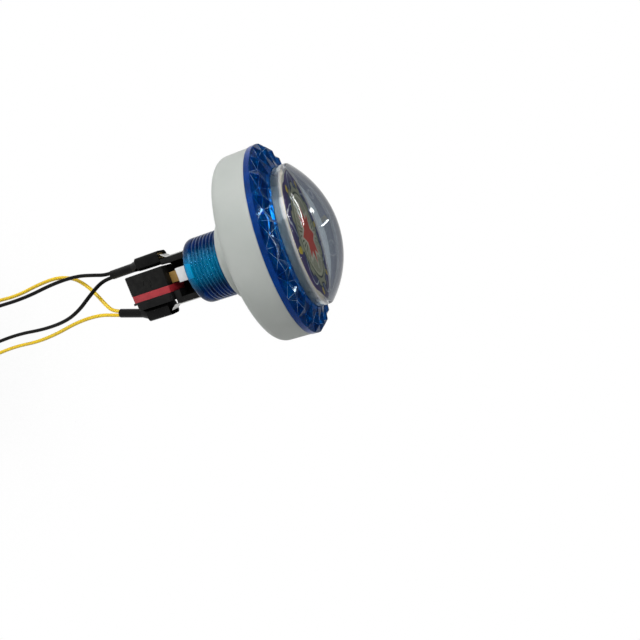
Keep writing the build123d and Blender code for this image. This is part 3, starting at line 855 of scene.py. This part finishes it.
floor_size = 6.0
floor_drop = 8 * mm
floor_shadow = 0.12
mirrored_share = 0.4
bpy.ops.object.select_all(action="DESELECT")
bpy.ops.mesh.primitive_plane_add(size=floor_size, location=(0.0, 0.0, cad_box[0].z - floor_drop))
floor = bpy.context.object
floor.name = "floor"
floor_material = plastic("pale_floor", (0.93, 0.93, 0.93), (0.95, 0.95, 0.95), roughness=0.9, mottle=4.0,
                         grain=60.0)
floor_tree = floor_material.node_tree
shadow = floor_tree.nodes.new("ShaderNodeAmbientOcclusion")
feed(floor_tree, shadow.inputs["Distance"], floor_shadow)
floor_white = floor_tree.nodes.new("ShaderNodeEmission")
feed(floor_tree, floor_white.inputs["Color"], shadow.outputs["Color"])
floor_path = floor_tree.nodes.new("ShaderNodeLightPath").outputs
mirrored = calc(floor_tree, "MAXIMUM", floor_path["Is Glossy Ray"], floor_path["Is Transmission Ray"])
seen = calc(floor_tree, "MULTIPLY_ADD", mirrored, mirrored_share, floor_path["Is Camera Ray"])
floor_look = either(floor_tree, seen, floor_tree.nodes["Principled BSDF"].outputs["BSDF"],
                    floor_white.outputs["Emission"])
feed(floor_tree, floor_tree.nodes["Material Output"].inputs["Surface"], floor_look)
floor.data.materials.append(floor_material)

world = bpy.data.worlds.new("white_studio")
bpy.context.scene.world = world
world.use_nodes = True
sky = world.node_tree
sky.nodes.remove(sky.nodes["Background"])


def surroundings(colour, strength=1.0):
    """One look of the room: a plain colour or a pattern, at a strength."""
    node = sky.nodes.new("ShaderNodeBackground")
    feed(sky, node.inputs["Color"], colour)
    feed(sky, node.inputs["Strength"], strength)
    return node.outputs["Background"]


white = (1.0, 1.0, 1.0)
ambient_strength = 0.32
heading = sky.nodes.new("ShaderNodeSeparateXYZ")
feed(sky, heading.inputs["Vector"], sky.nodes.new("ShaderNodeTexCoord").outputs["Generated"])
overhead = sky.nodes.new("ShaderNodeValToRGB")
heights = overhead.color_ramp.elements
heights[0].position = 0.05
heights[0].color = (0.90, 0.90, 0.90, 1.0)
heights[-1].color = (0.05, 0.05, 0.05, 1.0)
for height, shade in ((0.30, 0.20), (0.65, 0.05)):
    heights.new(height).color = (shade, shade, shade * 1.05, 1.0)
feed(sky, overhead.inputs["Fac"], heading.outputs["Z"])
front_to_back = sky.nodes.new("ShaderNodeMapRange")
feed(sky, front_to_back.inputs["Value"], heading.outputs["Y"])
for limit, value in (("From Min", -0.2), ("From Max", 0.3), ("To Min", 0.12), ("To Max", 0.55)):
    feed(sky, front_to_back.inputs[limit], value)
room = surroundings(overhead.outputs["Color"], front_to_back.outputs["Result"])
behind = surroundings((0.28, 0.28, 0.30))
path = sky.nodes.new("ShaderNodeLightPath").outputs
through = calc(sky, "MAXIMUM", path["Is Glossy Ray"], path["Is Transmission Ray"])
direct = calc(sky, "LESS_THAN", path["Diffuse Depth"], 0.5)
around = either(sky, path["Is Transmission Ray"], room, behind)
mirror_rays = calc(sky, "MULTIPLY", through, direct)
reflected = either(sky, mirror_rays, surroundings(white, ambient_strength), around)
backdrop = either(sky, path["Is Camera Ray"], reflected, surroundings(white))
feed(sky, sky.nodes["World Output"].inputs["Surface"], backdrop)


def lamp(name, direction, width, height, watts, distance=0.7):
    """A rectangular lamp that faces the button from a direction, given in the view's right, up and back."""
    right, up, back = direction
    towards = (view_right * right - view_down * up - view_forward * back).normalized()
    data = bpy.data.lights.new(name, "AREA")
    data.shape = "RECTANGLE"
    data.size = width
    data.size_y = height
    data.energy = watts
    piece = bpy.data.objects.new(name, data)
    bpy.context.collection.objects.link(piece)
    piece.location = towards * distance
    piece.rotation_mode = "QUATERNION"
    piece.rotation_quaternion = towards.to_track_quat("Z", "Y")
    piece.visible_camera = False


lamp("soft_key", (-0.25, 0.6, 0.76), width=0.5, height=0.5, watts=3.4, distance=0.8)
lamp("strip_front", (0.35, 0.0, 0.94), width=0.9, height=0.012, watts=0.7)
lamp("tube_right", (0.55, 0.5, 0.7), width=0.012, height=0.6, watts=0.7)
lamp("tube_above", (0.795, 0.423, -0.44), width=0.008, height=0.24, watts=0.12)
lamp("tube_near", (0.77, 0.63, 0.10), width=0.014, height=0.36, watts=0.36)
lamp("small_flash", (0.785, 0.59, -0.20), width=0.042, height=0.042, watts=0.12)
bpy.context.scene.view_settings.view_transform = "Standard"
